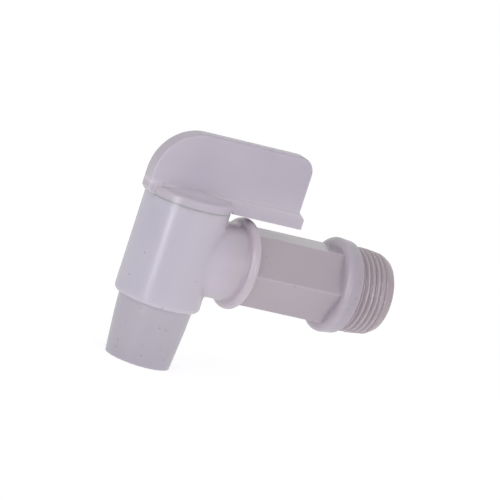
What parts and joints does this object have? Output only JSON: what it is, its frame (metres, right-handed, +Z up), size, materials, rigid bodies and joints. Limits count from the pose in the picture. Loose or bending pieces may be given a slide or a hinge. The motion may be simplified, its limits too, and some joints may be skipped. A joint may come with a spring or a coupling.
{
  "type": "barrel tap",
  "caption": "Moulded plastic barrel tap with a turning lever key, a hexagonal arm and a threaded spigot for a container.",
  "frame": {"origin": "centre of the flange's seating face, on the axis of the arm and the spigot", "axes": "+X along the arm to the free end of the threaded spigot, +Z up the barrel towards the lever, +Y across the arm"},
  "size_m": [0.0862, 0.0294, 0.0717],
  "materials": {
    "body_plastic": "satin natural polyethylene, milky and translucent",
    "key_plastic": "satin natural polyethylene, milky and translucent"
  },
  "bodies": {
    "body": {"body": "body_plastic"},
    "key": {"key": "key_plastic"}
  },
  "joints": [
    {"name": "key_turn", "type": "hinge", "parent": "body", "child": "key", "pos_m": [-0.059, 0, 0], "axis": [0, 0, 1], "range_deg": [0, 90]}
  ]
}
